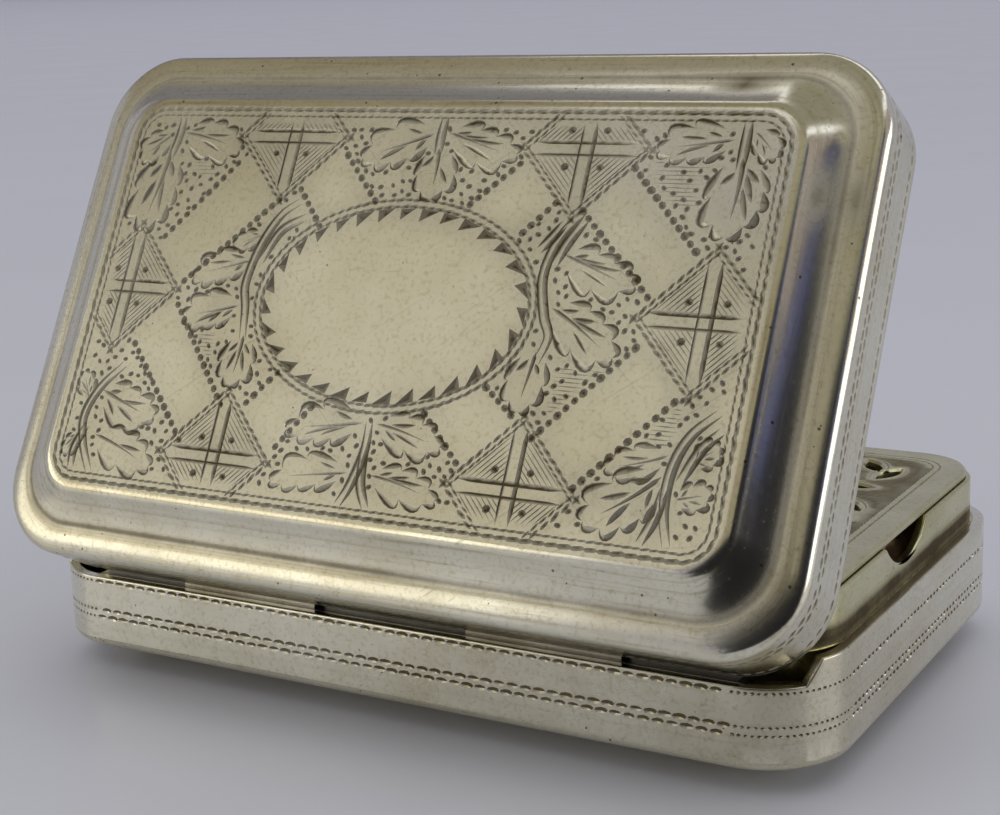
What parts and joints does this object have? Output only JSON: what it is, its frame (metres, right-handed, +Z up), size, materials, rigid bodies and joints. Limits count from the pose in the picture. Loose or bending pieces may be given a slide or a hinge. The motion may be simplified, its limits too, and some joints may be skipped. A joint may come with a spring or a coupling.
{
  "type": "silver vinaigrette",
  "caption": "Small rounded rectangular silver box with an engraved hinged lid, gilt bezel and pierced hinged grille over a scented sponge.",
  "frame": {"origin": "middle of the flat raised panel on the underside, where the box stands", "axes": "+Z up, +X along the lid hinge, the hinge side towards -Y, modelled with the lid open"},
  "size_m": [0.038, 0.0262, 0.027],
  "materials": {
    "silver": "polished silver, lightly worn",
    "gilt": "worn gilding on silver",
    "sponge": "dry natural sponge"
  },
  "bodies": {
    "base": {"base_pan": "silver", "base_wall": "silver", "base_bearer": "silver", "base_knuckle_left": "silver", "base_knuckle_right": "silver", "lid_hinge_pin": "silver", "bezel": "gilt", "grille_knuckle_front": "gilt", "grille_knuckle_back": "gilt", "grille_hinge_pin": "gilt", "sponge": "sponge"},
    "lid": {"lid_top": "silver", "lid_wall": "silver", "lid_bearer": "silver", "lid_knuckle_left": "silver", "lid_knuckle_middle": "silver", "lid_knuckle_right": "silver"},
    "grille": {"grille_plate": "gilt", "grille_knuckle_middle": "gilt"}
  },
  "joints": [
    {"name": "lid_hinge", "type": "hinge", "parent": "base", "child": "lid", "pos_m": [0, -0.01105, 0.00545], "axis": [1, 0, 0], "range_deg": [-61, 34]},
    {"name": "grille_hinge", "type": "hinge", "parent": "base", "child": "grille", "pos_m": [-0.018, 0, 0.00745], "axis": [0, -1, 0], "range_deg": [0, 1]}
  ]
}
